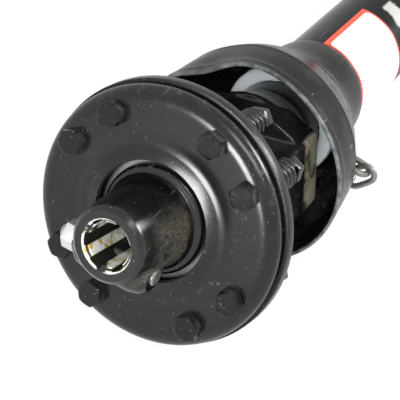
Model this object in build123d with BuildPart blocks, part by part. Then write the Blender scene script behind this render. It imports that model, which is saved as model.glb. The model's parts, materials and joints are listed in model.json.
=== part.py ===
from build123d import *
import os
from math import asin, atan2, cos, degrees, hypot, pi, radians, sin, sqrt

# A drive shaft that takes power from a tractor's stub shaft to an implement. The implement end, at
# the origin, carries a friction clutch; two cross joints, two telescoping profile tubes and two
# sleeves of plastic guard follow it along +X. Millimetres, +Z up, origin in the implement bore, where
# its teeth begin behind the lead-in. The shaft lies on the clutch's flange and the guard's bells.

os.makedirs("parts", exist_ok=True)

# Splined bores, 1 3/8 inch with six teeth
spline_minor_radius = 15.0
spline_major_radius = 17.5
spline_groove_width = 8.6
spline_count = 6
bore_lead = 4.6

# Cross joints
joint_distance = 700.0
mouth_to_joint = 127.7
cap_radius = 15.1
cross_reach = 46.0
cap_depth = 20.0
trunnion_radius = 8.5
cross_body_radius = 14.5
needle_room = 0.1
fit_room = 0.05
clip_thickness = 1.4
clip_inner_radius = 11.0
clip_groove_depth = 1.2
clip_gap = 9.0
ear_radius = 24.0
ear_inner = 30.0
ear_outer = 50.0
seal_thickness = 2.6
nipple_radius = 3.6
nipple_length = 11.0
nipple_room = 0.2

# Clutch, with heights counted from the joint's centre towards the mouth
flange_back = 48.0
flange_thickness = 8.0
flange_boss_radius = 34.0
flange_boss_height = 8.0
flange_bore_radius = 26.0
flange_rim = 2.0
plate_radius = 89.0
plate_sheet = 3.7
plate_rise = 15.0
plate_crown = 3.5
plate_crease_room = 16.0
plate_hole_room = 3.7
plate_corner_radius = 8.0
plate_skirt = 11.5
ring_thickness = 3.0
ring_slip_room = 0.02
ring_bolt_room = 1.5
ring_inner_radius = 46.0
bolt_rim = 15.0
bolt_radius = 5.0
bolt_room = 0.4
bolt_turn = 1.8
bolt_first_pair = 30.0
head_turn = 17.0
nut_turn = 23.0
bolt_head_flat = 17.0
bolt_head_height = 6.8
bolt_end = 2.0
nut_height = 8.0
spring_outer_radius = 10.4
spring_wire = 4.2
spring_length = 34.0
spring_turns = 5.5
coil_runs = 10

# Hub with its lobe for the taper pin
hub_mouth_radius = 26.0
hub_chamfer = 2.6
hub_root_radius = 31.0
hub_shoulder_radius = 37.5
hub_shoulder_height = 72.0
hub_spigot_radius = 22.0
hub_spigot_length = 11.0
hub_edge = 2.0
bush_room = 0.05
lobe_radius = 16.5
lobe_right = 24.5
lobe_left = 34.0
pin_offset = 21.0
pin_turn = 10.5
pin_behind_mouth = 29.9
pin_radius = 5.9
pin_small_radius = 5.2
pin_thread_radius = 4.9
pin_room = 0.05
pin_nut_flat = 18.0
pin_nut_height = 9.0
pin_thread_proud = 4.0
pin_proud = 1.6

# Profile tubes, three-lobed, as large as the guard leaves room for
profile_guard_room = 5.0
lobe_flatness = 0.7091
profile_wall = 3.5
profile_room = 0.35
profile_start = 96.0
outer_profile_end = 470.0
inner_profile_end = 470.0
yoke_pin_radius = 4.0
yoke_pin_wall = 1.4
yoke_pin_slot = 1.6
yoke_pin_place = 136.0

# Tube yokes
block_start = 40.0
block_end = 67.0
block_half_width = 53.0
block_half_height = 40.0
block_flank_height = 28.0
block_top_width = 31.0
saddle_depth = 36.0
neck_start = 92.0
neck_end = 150.0
bearing_groove_start = 112.0
bearing_groove_width = 7.0
bearing_groove_depth = 3.0

# Guard
guard_wall = 2.2
guard_room = 0.5
outer_guard_radius = 37.4
guard_sleeve_wall = 1.9
bearing_room = 0.3
bearing_start = 110.0
bearing_flange_length = 13.0
bearing_flange_radius = 43.0
bearing_sleeve_end = 160.0
bearing_split = 6.0
bearing_edge = 1.5
bell_mouth = 46.5
bell_radius = 80.0
bell_wall = 2.4
bell_collar_start = 150.0
bell_end = 172.0
guard_tube_end = 450.0

# The bell's outline: shares of the way from the guard tube to the lip, and from the mouth to the end
bell_outline = [(1.0, 0.0), (0.967, 0.068), (0.934, 0.147), (0.901, 0.227), (0.85, 0.307),
                (0.742, 0.386), (0.629, 0.466), (0.531, 0.53), (0.413, 0.578), (0.296, 0.641),
                (0.202, 0.729), (0.143, 0.825), (0.096, 0.92), (0.049, 1.0)]

# Safety chain, from a link through the bell to the floor behind it
chain_wire = 4.0
chain_inner_length = 22.0
chain_inner_width = 9.0
chain_slack = 0.9
chain_hang_angle = 20.0
chain_place_share = 0.554
chain_root_share = 0.39
chain_hole_room = 1.5
chain_end_runs = 6
chain_dip_shares = [0.264, 0.246, 0.245, 0.245]

# Tractor yoke and its release pin
tractor_block_start = 38.0
tractor_block_end = 54.0
tractor_flank = 26.0
tractor_length = 104.0
tractor_hub_radius = 27.0
release_setback = 24.0
release_offset = 20.6
release_pin_radius = 5.0
release_boss_radius = 10.5
release_boss_far = 24.0
release_boss_near = 30.0
release_pocket_radius = 7.1
release_pocket_start = 12.5
release_button_room = 0.2
release_button_end = 40.0
release_spring_wire = 1.4
release_spring_length = 14.0
release_spring_turns = 4
release_waist_radius = 3.0
release_waist_start = 2.0
release_clip_radius = 7.2
release_clip_thickness = 1.2

# Sizes that follow from the ones above
flange_radius = plate_radius + flange_rim
bolt_circle_radius = plate_radius - bolt_rim
ring_outer_radius = bolt_circle_radius - bolt_radius - ring_bolt_room
plate_crease_radius = bolt_circle_radius - plate_crease_room
plate_hole_radius = hub_shoulder_radius + plate_hole_room
lobe_reach = outer_guard_radius - 2 * guard_wall - guard_room - profile_guard_room
lobe_flat_radius = lobe_reach * lobe_flatness
chain_place = bell_mouth + chain_place_share * (bell_end - bell_mouth)
chain_root_radius = outer_guard_radius + chain_root_share * (bell_radius - outer_guard_radius)
release_place = tractor_length - release_setback

bore_to_joint = mouth_to_joint - bore_lead

# The clutch's flange and the front bell both touch the floor, and that sets how far the joint is bent
reach_to_edge = hypot(flange_back, flange_radius)
bend = degrees(atan2(flange_radius, flange_back) - asin(bell_radius / reach_to_edge))
lean = radians(bend)

front_centre = (bore_to_joint * cos(lean), 0, -bore_to_joint * sin(lean))
rear_centre = (front_centre[0] + joint_distance, 0, front_centre[2])
floor_height = front_centre[2] - bell_radius

# Each frame has its origin in a joint's centre and its third axis away from that joint
clutch = Plane(origin=front_centre, x_dir=(0, -1, 0), z_dir=(-cos(lean), 0, sin(lean)))
clutch_fork = Plane(origin=front_centre, x_dir=clutch.y_dir, z_dir=clutch.z_dir)
front = Plane(origin=front_centre, x_dir=(0, 1, 0), z_dir=(1, 0, 0))
rear = Plane(origin=rear_centre, x_dir=(0, -1, 0), z_dir=(-1, 0, 0))
tractor = Plane(origin=rear_centre, x_dir=(0, 0, 1), z_dir=(1, 0, 0))

# Heights and radii in those frames
flange_face = flange_back + flange_thickness
plate_top = flange_face + plate_rise
plate_under = plate_top - plate_sheet
disc_bottom = flange_face + ring_thickness
disc_top = plate_under - ring_thickness
guard_inner_radius = outer_guard_radius - guard_wall
inner_guard_radius = guard_inner_radius - guard_room
front_neck_radius = guard_inner_radius - guard_sleeve_wall - bearing_room
rear_neck_radius = inner_guard_radius - guard_wall - guard_sleeve_wall - bearing_room
clip_seat = cross_reach + fit_room


def side(frame):
    """The plane that holds a frame's first axis, to the right, and its third axis, upwards."""
    return Plane(origin=frame.origin, x_dir=frame.x_dir, z_dir=-frame.y_dir)


def edge(frame):
    """The plane that holds a frame's second axis, to the right, and its third axis, upwards."""
    return Plane(origin=frame.origin, x_dir=frame.y_dir, z_dir=frame.x_dir)


def place(frame, across, over, along):
    """A frame moved by three distances along its own axes."""
    spot = frame.from_local_coords((across, over, along))
    return Plane(origin=spot, x_dir=frame.x_dir, z_dir=frame.z_dir)


def turn(frame, corners, mode=Mode.ADD):
    """A turned body about a frame's third axis, from corners of radius and height."""
    with BuildSketch(side(frame)) as section:
        with BuildLine():
            Polyline(*corners, close=True)
        make_face()
    revolve(section.sketch, axis=Axis(frame.origin, frame.z_dir), mode=mode)


def rod(frame, radius, start, end, mode=Mode.ADD):
    """A round bar along a frame's third axis, from one height to another."""
    with BuildSketch(frame.offset(start)) as section:
        Circle(radius)
    extrude(section.sketch, amount=end - start, mode=mode)


def hexagon(frame, flat, start, end, turned=0.0, mode=Mode.ADD):
    """A six-sided bar of a given size across its flats."""
    with BuildSketch(frame.offset(start)) as section:
        RegularPolygon(flat / 2, 6, major_radius=False, rotation=turned)
    extrude(section.sketch, amount=end - start, mode=mode)


def three_lobes(frame, flat_radius, reach):
    """A triangle with round corners: how far its sides and its corners are from the middle."""
    with BuildSketch(frame) as section:
        RegularPolygon(2 * flat_radius, 3, rotation=90)
        fillet(section.vertices(), 2 * flat_radius - reach)
    return section.sketch


def splined_hole(frame, start, end):
    """A splined bore along a frame's third axis."""
    with BuildSketch(frame.offset(start)) as section:
        Circle(spline_minor_radius)
        with PolarLocations(spline_major_radius / 2, spline_count):
            Rectangle(spline_major_radius, spline_groove_width)
        Circle(spline_major_radius, mode=Mode.INTERSECT)
    extrude(section.sketch, amount=end - start, mode=Mode.SUBTRACT)


def fork(frame, arm, outline):
    """Two ears for the caps of a cross, from the arm's section and the outline it is cut to."""
    with BuildSketch(side(frame)) as section:
        with BuildLine():
            Polyline(*arm, close=True)
        make_face()
    extrude(section.sketch, amount=block_half_height, both=True)
    with BuildSketch(edge(frame)) as silhouette:
        Circle(ear_radius)
        with BuildLine():
            Polyline(*outline, close=True)
        make_face()
    extrude(silhouette.sketch, amount=ear_outer + block_half_width, both=True, mode=Mode.INTERSECT)
    mirror(about=edge(frame))


def cap_holes(frame):
    """The bores and clip grooves for two caps, across a frame's first axis."""
    across = edge(frame)
    with BuildSketch(across) as bore:
        Circle(cap_radius + fit_room)
    extrude(bore.sketch, amount=ear_outer + 1, both=True, mode=Mode.SUBTRACT)
    for way in (1, -1):
        with BuildSketch(across.offset(way * clip_seat)) as groove:
            Circle(cap_radius + clip_groove_depth)
        extrude(groove.sketch, amount=way * (clip_thickness + fit_room), mode=Mode.SUBTRACT)


def cap_pair(name, frame):
    """The two bearing caps that a fork holds, as one node."""
    across = edge(frame)
    with BuildPart() as caps:
        for way in (1, -1):
            with BuildSketch(across.offset(way * cross_reach)):
                Circle(cap_radius)
            extrude(amount=-way * cap_depth)
            with BuildSketch(across.offset(way * (cross_reach - 2.0))):
                Circle(trunnion_radius + needle_room)
            extrude(amount=-way * cap_depth, mode=Mode.SUBTRACT)
    caps.part.label = name
    export_step(caps.part, "parts/" + name + ".step")


def clip_pair(name, frame):
    """The two open clips that keep a fork's caps in, as one node."""
    across = edge(frame)
    with BuildPart() as clips:
        for way in (1, -1):
            with BuildSketch(across.offset(way * (clip_seat + fit_room / 2))):
                Circle(cap_radius + clip_groove_depth - fit_room)
                Circle(clip_inner_radius, mode=Mode.SUBTRACT)
                with Locations((0, clip_inner_radius)):
                    Rectangle(clip_gap, 2 * clip_inner_radius, mode=Mode.SUBTRACT)
            extrude(amount=way * clip_thickness)
    clips.part.label = name
    export_step(clips.part, "parts/" + name + ".step")


def cross(name, first, second):
    """A cross with four trunnions: along the first axis of one frame and of another."""
    with BuildPart() as spider:
        for frame in (first, second):
            across = edge(frame)
            with BuildSketch(across):
                Circle(trunnion_radius)
            extrude(amount=cross_reach - 2.5, both=True)
            with BuildSketch(across):
                Circle(cross_body_radius)
            extrude(amount=cross_reach - cap_depth - seal_thickness - 0.4, both=True)
    spider.part.label = name
    export_step(spider.part, "parts/" + name + ".step")


def seal_set(name, first, second):
    """The four seals between a cross and its caps, as one node."""
    shoulder = cross_reach - cap_depth - seal_thickness - 0.2
    with BuildPart() as seals:
        for frame in (first, second):
            across = edge(frame)
            for way in (1, -1):
                with BuildSketch(across.offset(way * shoulder)):
                    Circle(cross_body_radius - 0.6)
                    Circle(trunnion_radius + fit_room, mode=Mode.SUBTRACT)
                extrude(amount=way * seal_thickness)
    seals.part.label = name
    export_step(seals.part, "parts/" + name + ".step")


def nipple(name, frame):
    """A grease nipple on a cross, in the corner between two of its trunnions."""
    slant = Plane(origin=frame.origin, x_dir=frame.z_dir, z_dir=frame.y_dir + frame.x_dir)
    base = cross_body_radius * sqrt(2) + nipple_room
    with BuildPart() as fitting:
        turn(slant, [(0, base), (nipple_radius, base + nipple_radius),
                     (nipple_radius, base + nipple_length * 0.5 - 1),
                     (nipple_radius * 0.55, base + nipple_length * 0.6),
                     (nipple_radius * 0.55, base + nipple_length * 0.75),
                     (nipple_radius * 0.8, base + nipple_length * 0.85),
                     (nipple_radius * 0.4, base + nipple_length), (0, base + nipple_length)])
    fitting.part.label = name
    export_step(fitting.part, "parts/" + name + ".step")


def tube_yoke(name, frame, neck_radius, flat_radius, reach):
    """A forged yoke on the end of a profile tube, with a groove for the guard's bearing."""
    arm = [(0, saddle_depth), (ear_inner - 10, saddle_depth - 4), (ear_inner, ear_radius - 6),
           (ear_inner, -ear_radius), (ear_outer, -ear_radius), (ear_outer, ear_radius),
           (block_half_width, block_start), (block_half_width, block_end - 5),
           (block_half_width - 5, block_end), (0, block_end)]
    outline = [(-ear_radius, 0), (ear_radius, 0), (block_flank_height, block_start),
               (block_flank_height, block_end), (-block_flank_height, block_end),
               (-block_flank_height, block_start)]
    groove_end = bearing_groove_start + bearing_groove_width
    with BuildPart() as yoke:
        fork(frame, arm, outline)
        with BuildSketch(frame.offset(block_start + 2)):
            with BuildLine():
                Polyline((block_half_width, 0), (block_half_width, block_flank_height - 2),
                         (block_top_width + 8, block_half_height - 5),
                         (block_top_width, block_half_height), (0, block_half_height))
                mirror(about=Plane.YZ)
                mirror(about=Plane.XZ)
            make_face()
        extrude(amount=block_end - block_start - 2)
        turn(frame, [(0, block_end - 4), (block_half_height + 5, block_end - 4),
                     (block_half_height + 4, block_end), (neck_radius, neck_start),
                     (neck_radius, neck_end), (0, neck_end)])
        turn(frame, [(neck_radius - bearing_groove_depth, bearing_groove_start),
                     (neck_radius + 5, bearing_groove_start), (neck_radius + 5, groove_end),
                     (neck_radius - bearing_groove_depth, groove_end)], Mode.SUBTRACT)
        socket = three_lobes(frame.offset(profile_start), flat_radius + fit_room, reach + fit_room)
        extrude(socket, amount=neck_end - profile_start + 1, mode=Mode.SUBTRACT)
        with BuildSketch(Plane(origin=place(frame, 0, 0, yoke_pin_place).origin, z_dir=(0, 0, 1))):
            Circle(yoke_pin_radius)
        extrude(amount=neck_radius + 5, both=True, mode=Mode.SUBTRACT)
        cap_holes(frame)
    yoke.part.label = name
    export_step(yoke.part, "parts/" + name + ".step")


def profile_tube(name, frame, end, flat_radius, reach):
    """A three-lobed tube from its yoke's socket to its open end."""
    with BuildPart() as tube:
        start = frame.offset(profile_start)
        extrude(three_lobes(start, flat_radius, reach), amount=end - profile_start)
        hollow = three_lobes(start, flat_radius - profile_wall, reach - profile_wall)
        extrude(hollow, amount=end - profile_start, mode=Mode.SUBTRACT)
        with BuildSketch(Plane(origin=place(frame, 0, 0, yoke_pin_place).origin, z_dir=(0, 0, 1))):
            Circle(yoke_pin_radius)
        extrude(amount=reach + 5, both=True, mode=Mode.SUBTRACT)
    tube.part.label = name
    export_step(tube.part, "parts/" + name + ".step")


def yoke_pin(name, frame, neck_radius):
    """The slotted spring pin through a yoke's neck and its profile tube."""
    middle = place(frame, 0, 0, yoke_pin_place).origin
    with BuildPart() as pin:
        with BuildSketch(Plane(origin=middle, z_dir=(0, 0, 1))):
            Circle(yoke_pin_radius)
            Circle(yoke_pin_radius - yoke_pin_wall, mode=Mode.SUBTRACT)
            with Locations((yoke_pin_radius, 0)):
                Rectangle(2 * yoke_pin_radius, yoke_pin_slot, mode=Mode.SUBTRACT)
        extrude(amount=neck_radius - 0.5, both=True)
    pin.part.label = name
    export_step(pin.part, "parts/" + name + ".step")


def guard_tube(name, frame, radius):
    """A plastic guard tube from its bearing to its open end."""
    with BuildPart() as tube:
        with BuildSketch(frame.offset(bearing_start + bearing_flange_length + fit_room)):
            Circle(radius)
            Circle(radius - guard_wall, mode=Mode.SUBTRACT)
        extrude(amount=guard_tube_end - bearing_start - bearing_flange_length)
    tube.part.label = name
    export_step(tube.part, "parts/" + name + ".step")


def guard_bearing(name, frame, tube_radius, neck_radius):
    """The split nylon ring that runs in a yoke's groove and carries the guard."""
    sleeve_radius = tube_radius - guard_wall - fit_room
    flange_end = bearing_start + bearing_flange_length
    tongue_radius = neck_radius - bearing_groove_depth + bearing_room
    tongue_start = bearing_groove_start + bearing_room
    tongue_end = bearing_groove_start + bearing_groove_width - bearing_room
    inner = neck_radius + bearing_room
    rim = bearing_flange_radius
    with BuildPart() as bearing:
        turn(frame, [(inner, bearing_start), (rim - bearing_edge, bearing_start),
                     (rim, bearing_start + bearing_edge), (rim, flange_end), (sleeve_radius, flange_end),
                     (sleeve_radius, bearing_sleeve_end), (inner, bearing_sleeve_end),
                     (inner, tongue_end), (tongue_radius, tongue_end),
                     (tongue_radius, tongue_start), (inner, tongue_start)])
        split = Plane(origin=place(frame, 0, 0, bearing_start).origin, z_dir=(0, 0, -1))
        with BuildSketch(split):
            Rectangle(2 * bearing_sleeve_end, bearing_split)
        extrude(amount=bearing_flange_radius + 5, mode=Mode.SUBTRACT)
    bearing.part.label = name
    export_step(bearing.part, "parts/" + name + ".step")


def guard_bell(name, frame, tube_radius, chained):
    """A moulded bell over a joint, with a collar that grips the guard tube."""
    outside = []
    for share, along in bell_outline:
        outside.append((tube_radius + share * (bell_radius - tube_radius),
                        bell_mouth + along * (bell_end - bell_mouth)))
    collar = tube_radius + fit_room
    inside = [(collar, bell_end), (collar, bell_collar_start)]
    for radius, height in reversed(outside[1:-2]):
        inside.append((radius - bell_wall, height - bell_wall / 2))
    inside.append((bell_radius - bell_wall, bell_mouth))
    with BuildPart() as bell:
        turn(frame, outside + inside)
        if chained:
            hang = radians(chain_hang_angle)
            outward = Vector(0, -cos(hang), -sin(hang))
            half = (chain_inner_width + chain_wire) / 2
            for step in (-half, half):
                foot = place(frame, 0, 0, chain_place + step).origin
                with BuildSketch(Plane(origin=foot, z_dir=outward)):
                    Circle(chain_wire / 2 + chain_hole_room)
                extrude(amount=bell_radius, mode=Mode.SUBTRACT)
    bell.part.label = name
    export_step(bell.part, "parts/" + name + ".step")


def coil(outer_radius, wire, length, turns):
    """A coil spring on the origin, along +Z. Its round wire is a chain of short straight runs."""
    mean = outer_radius - wire / 2
    rise = (length - wire) / (turns * coil_runs)
    points = []
    for step in range(int(turns * coil_runs) + 1):
        angle = 2 * pi * step / coil_runs
        points.append((mean * cos(angle), mean * sin(angle), wire / 2 + rise * step))
    with BuildPart() as spring:
        with BuildLine() as path:
            Polyline(*points)
        with BuildSketch(Plane(origin=path.line @ 0, x_dir=(0, 0, 1), z_dir=path.line % 0)):
            RegularPolygon(wire / 2, 6)
        sweep(path=path.line, transition=Transition.RIGHT)
    return spring.part


def chain_link():
    """One welded link on the origin, long along X, flat in the XY plane, its ends in short runs."""
    half = (chain_inner_length - chain_inner_width) / 2
    across = (chain_inner_width + chain_wire) / 2
    points = [(0, -across)]
    for step in range(chain_end_runs + 1):
        angle = pi * step / chain_end_runs - pi / 2
        points.append((half + across * cos(angle), across * sin(angle)))
    points.append((0, across))
    with BuildPart() as link:
        with BuildLine() as path:
            Polyline(*points)
        with BuildSketch(Plane(origin=path.line @ 0, x_dir=(0, 0, 1), z_dir=path.line % 0)):
            RegularPolygon(chain_wire / 2, 6)
        sweep(path=path.line, transition=Transition.RIGHT)
        mirror(about=Plane.YZ)
    return link.part


def chain_steps():
    """Each link's direction and roll: out through the bell, then down and along the floor."""
    hang = radians(chain_hang_angle)
    step = chain_inner_length - chain_slack
    reach = chain_root_radius + step
    lying = chain_inner_width / 2 + chain_wire
    drop = bell_radius - lying - reach * sin(hang)
    hanging = [(5, 90), (24, 15), (30, 105), (33, 10)]
    flat = [(38, 0, -75), (28, 0, 20), (38, 0, -70), (50, 0, 25), (42, 0, -65)]
    lie = []
    for (heading, roll), share in zip(hanging, chain_dip_shares):
        lie.append((heading, degrees(asin(share * drop / step)), roll))
    steps = [(Vector(0, -cos(hang), -sin(hang)), 0)]
    for heading, dip, roll in lie + flat:
        turned = radians(heading)
        down = radians(dip)
        steps.append((Vector(cos(down) * sin(turned), cos(down) * cos(turned), -sin(down)), roll))
    return steps


# Clutch
bolt_angles = []
for quarter in range(4):
    bolt_angles.append(90 - (90 * quarter + bolt_first_pair + bolt_turn))
    bolt_angles.append(90 - (90 * quarter + 90 - bolt_first_pair + bolt_turn))


def bolt_spots():
    """The places of the clutch's bolts, in pairs between the ears."""
    spots = []
    for angle in bolt_angles:
        spots.append(
            (bolt_circle_radius * cos(radians(angle)), bolt_circle_radius * sin(radians(angle))))
    return spots


with BuildPart() as flange_yoke:
    fork(clutch_fork,
         [(flange_boss_radius - 14, flange_back), (flange_boss_radius - 12, flange_back - 8),
          (ear_inner, ear_radius), (ear_inner, -ear_radius), (ear_outer, -ear_radius),
          (ear_outer, ear_radius + 4), (ear_outer - 4, flange_back)],
         [(-ear_radius, 0), (ear_radius, 0), (ear_radius + 4, flange_back),
          (-ear_radius - 4, flange_back)])
    boss_end = flange_back - flange_boss_height
    turn(clutch, [(0, boss_end), (flange_boss_radius - 2, boss_end), (flange_boss_radius, boss_end + 2),
                  (flange_boss_radius, flange_back), (flange_radius, flange_back),
                  (flange_radius, flange_face), (0, flange_face)])
    rod(clutch, flange_bore_radius, 0, flange_face, Mode.SUBTRACT)
    with BuildSketch(clutch.offset(flange_back)):
        with Locations(*bolt_spots()):
            Circle(bolt_radius + bolt_room)
    extrude(amount=flange_thickness, mode=Mode.SUBTRACT)
    cap_holes(clutch_fork)
flange_yoke.part.label = "flange_yoke"
export_step(flange_yoke.part, "parts/flange_yoke.step")

corner_start = plate_radius - plate_corner_radius
plate_edge = plate_top - plate_skirt
with BuildPart() as pressure_plate:
    with BuildSketch(side(clutch)):
        with BuildLine():
            Line((plate_hole_radius, plate_top + plate_crown), (plate_crease_radius, plate_top))
            Line((plate_crease_radius, plate_top), (corner_start, plate_top))
            RadiusArc((corner_start, plate_top), (plate_radius, plate_top - plate_corner_radius),
                      plate_corner_radius)
            Line((plate_radius, plate_top - plate_corner_radius), (plate_radius, plate_edge))
            Line((plate_radius, plate_edge), (plate_radius - plate_sheet, plate_edge))
            Line((plate_radius - plate_sheet, plate_edge),
                 (plate_radius - plate_sheet, plate_top - plate_corner_radius))
            RadiusArc((plate_radius - plate_sheet, plate_top - plate_corner_radius),
                      (corner_start, plate_under), plate_sheet - plate_corner_radius)
            Line((corner_start, plate_under), (plate_crease_radius, plate_under))
            Line((plate_crease_radius, plate_under), (plate_hole_radius, plate_under + plate_crown))
            Line((plate_hole_radius, plate_under + plate_crown),
                 (plate_hole_radius, plate_top + plate_crown))
        make_face()
    revolve(axis=Axis(clutch.origin, clutch.z_dir))
    with BuildSketch(clutch.offset(plate_under)):
        with Locations(*bolt_spots()):
            Circle(bolt_radius + bolt_room)
    extrude(amount=plate_sheet, mode=Mode.SUBTRACT)
pressure_plate.part.label = "pressure_plate"
export_step(pressure_plate.part, "parts/pressure_plate.step")

# Each bolt's head is turned its own way, as a spanner leaves it
with BuildPart() as clutch_bolts:
    for number, spot in enumerate(bolt_spots()):
        seat = place(clutch, spot[0], spot[1], 0)
        hexagon(seat, bolt_head_flat, plate_top, plate_top + bolt_head_height, head_turn * number)
        turn(seat, [(0, bolt_end), (bolt_radius - 1, bolt_end), (bolt_radius, bolt_end + 1),
                    (bolt_radius, plate_top), (0, plate_top)])
clutch_bolts.part.label = "clutch_bolts"
export_step(clutch_bolts.part, "parts/clutch_bolts.step")

nut_top = flange_back - spring_length
with BuildPart() as clutch_nuts:
    for number, spot in enumerate(bolt_spots()):
        seat = place(clutch, spot[0], spot[1], 0)
        hexagon(seat, bolt_head_flat, nut_top - nut_height, nut_top, nut_turn * number)
        rod(seat, bolt_radius + fit_room, nut_top - nut_height, nut_top, Mode.SUBTRACT)
clutch_nuts.part.label = "clutch_nuts"
export_step(clutch_nuts.part, "parts/clutch_nuts.step")

clutch_spring = coil(spring_outer_radius, spring_wire, spring_length, spring_turns)
with BuildPart() as clutch_springs:
    for spot in bolt_spots():
        add(clutch_spring.moved(place(clutch, spot[0], spot[1], nut_top).location))
clutch_springs.part.label = "clutch_springs"
export_step(clutch_springs.part, "parts/clutch_springs.step")

for name, bottom in (("friction_ring_back", flange_face + ring_slip_room),
                     ("friction_ring_front", disc_top)):
    with BuildPart() as friction_ring:
        with BuildSketch(clutch.offset(bottom)):
            Circle(ring_outer_radius)
            Circle(ring_inner_radius, mode=Mode.SUBTRACT)
        extrude(amount=ring_thickness - ring_slip_room)
    friction_ring.part.label = name
    export_step(friction_ring.part, "parts/" + name + ".step")

# The taper pin crosses under the bore, square to the radius it sits on, thick end to the right
pin_height = mouth_to_joint - pin_behind_mouth
pin_swing = radians(180 + pin_turn)
pin_out = Vector(sin(pin_swing), cos(pin_swing), 0)
pin_middle = place(clutch, pin_offset * pin_out.X, pin_offset * pin_out.Y, pin_height).origin
pin_right = clutch.x_dir * -cos(pin_swing) + clutch.y_dir * sin(pin_swing)
pin_frame = Plane(origin=pin_middle, x_dir=clutch.z_dir, z_dir=pin_right)

spigot_end = disc_bottom - hub_spigot_length
with BuildPart() as clutch_hub:
    turn(clutch, [(0, spigot_end), (hub_spigot_radius, spigot_end),
                  (hub_spigot_radius, disc_bottom), (ring_outer_radius, disc_bottom),
                  (ring_outer_radius, disc_top), (hub_shoulder_radius, disc_top),
                  (hub_shoulder_radius, hub_shoulder_height - hub_edge),
                  (hub_shoulder_radius - hub_edge, hub_shoulder_height),
                  (hub_root_radius + hub_edge, hub_shoulder_height + hub_edge / 2),
                  (hub_root_radius, hub_shoulder_height + 2.5 * hub_edge),
                  (hub_mouth_radius, mouth_to_joint - hub_chamfer),
                  (hub_mouth_radius - hub_chamfer, mouth_to_joint), (0, mouth_to_joint)])
    turn(pin_frame, [(0, -lobe_left), (lobe_radius - 7, -lobe_left), (lobe_radius - 2, -lobe_left + 6),
                     (lobe_radius, -lobe_left + 16), (lobe_radius, lobe_right - 12),
                     (lobe_radius - 2, lobe_right - 4), (lobe_radius - 6, lobe_right),
                     (0, lobe_right)])
    splined_hole(clutch, spigot_end, mouth_to_joint)
    turn(clutch, [(0, bore_to_joint), (spline_minor_radius, bore_to_joint),
                  (spline_minor_radius + bore_lead, mouth_to_joint), (0, mouth_to_joint)],
         Mode.SUBTRACT)
    turn(pin_frame, [(0, -lobe_left - 1), (pin_small_radius + pin_room, -lobe_left - 1),
                     (pin_radius + pin_room, lobe_right + 1), (0, lobe_right + 1)], Mode.SUBTRACT)
clutch_hub.part.label = "clutch_hub"
export_step(clutch_hub.part, "parts/clutch_hub.step")

thread_end = -lobe_left - pin_nut_height - pin_thread_proud
with BuildPart() as taper_pin:
    turn(pin_frame, [(0, thread_end), (pin_thread_radius - 1, thread_end),
                     (pin_thread_radius, thread_end + 1), (pin_thread_radius, -lobe_left),
                     (pin_small_radius, -lobe_left), (pin_radius, lobe_right + pin_proud / 2),
                     (pin_radius - pin_proud / 2, lobe_right + pin_proud), (0, lobe_right + pin_proud)])
taper_pin.part.label = "taper_pin"
export_step(taper_pin.part, "parts/taper_pin.step")

with BuildPart() as taper_pin_nut:
    nut_end = -lobe_left - pin_nut_height
    hexagon(pin_frame, pin_nut_flat, nut_end, -lobe_left)
    rod(pin_frame, pin_thread_radius + fit_room, nut_end, -lobe_left, Mode.SUBTRACT)
taper_pin_nut.part.label = "taper_pin_nut"
export_step(taper_pin_nut.part, "parts/taper_pin_nut.step")

with BuildPart() as hub_bush:
    with BuildSketch(clutch.offset(flange_back - flange_boss_height)):
        Circle(flange_bore_radius - fit_room)
        Circle(hub_spigot_radius + bush_room, mode=Mode.SUBTRACT)
    extrude(amount=flange_thickness + flange_boss_height)
hub_bush.part.label = "hub_bush"
export_step(hub_bush.part, "parts/hub_bush.step")

# Joints
cross("cross_front", front, clutch_fork)
seal_set("cross_seals_front", front, clutch_fork)
cap_pair("cross_caps_front_clutch", clutch_fork)
cap_pair("cross_caps_front_shaft", front)
clip_pair("cap_clips_front_clutch", clutch_fork)
clip_pair("cap_clips_front_shaft", front)
nipple("grease_nipple_front", Plane(front_centre, x_dir=(0, -1, 0), z_dir=(-1, 0, 0)))
cross("cross_rear", rear, tractor)
seal_set("cross_seals_rear", rear, tractor)
nipple("grease_nipple_rear", rear)
cap_pair("cross_caps_rear_shaft", rear)
cap_pair("cross_caps_rear_tractor", tractor)
clip_pair("cap_clips_rear_shaft", rear)
clip_pair("cap_clips_rear_tractor", tractor)

# Shaft and guard
slide_flat = lobe_flat_radius - profile_wall - profile_room
slide_reach = lobe_reach - profile_wall - profile_room
tube_yoke("tube_yoke_front", front, front_neck_radius, lobe_flat_radius, lobe_reach)
tube_yoke("tube_yoke_rear", rear, rear_neck_radius, slide_flat, slide_reach)
profile_tube("outer_profile_tube", front, outer_profile_end, lobe_flat_radius, lobe_reach)
profile_tube("inner_profile_tube", rear, inner_profile_end, slide_flat, slide_reach)
yoke_pin("yoke_pin_front", front, front_neck_radius)
yoke_pin("yoke_pin_rear", rear, rear_neck_radius)
guard_tube("guard_tube_outer", front, outer_guard_radius)
guard_tube("guard_tube_inner", rear, inner_guard_radius)
guard_bearing("guard_bearing_front", front, outer_guard_radius, front_neck_radius)
guard_bearing("guard_bearing_rear", rear, inner_guard_radius, rear_neck_radius)
guard_bell("guard_bell_front", front, outer_guard_radius, True)
guard_bell("guard_bell_rear", rear, inner_guard_radius, False)

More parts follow.
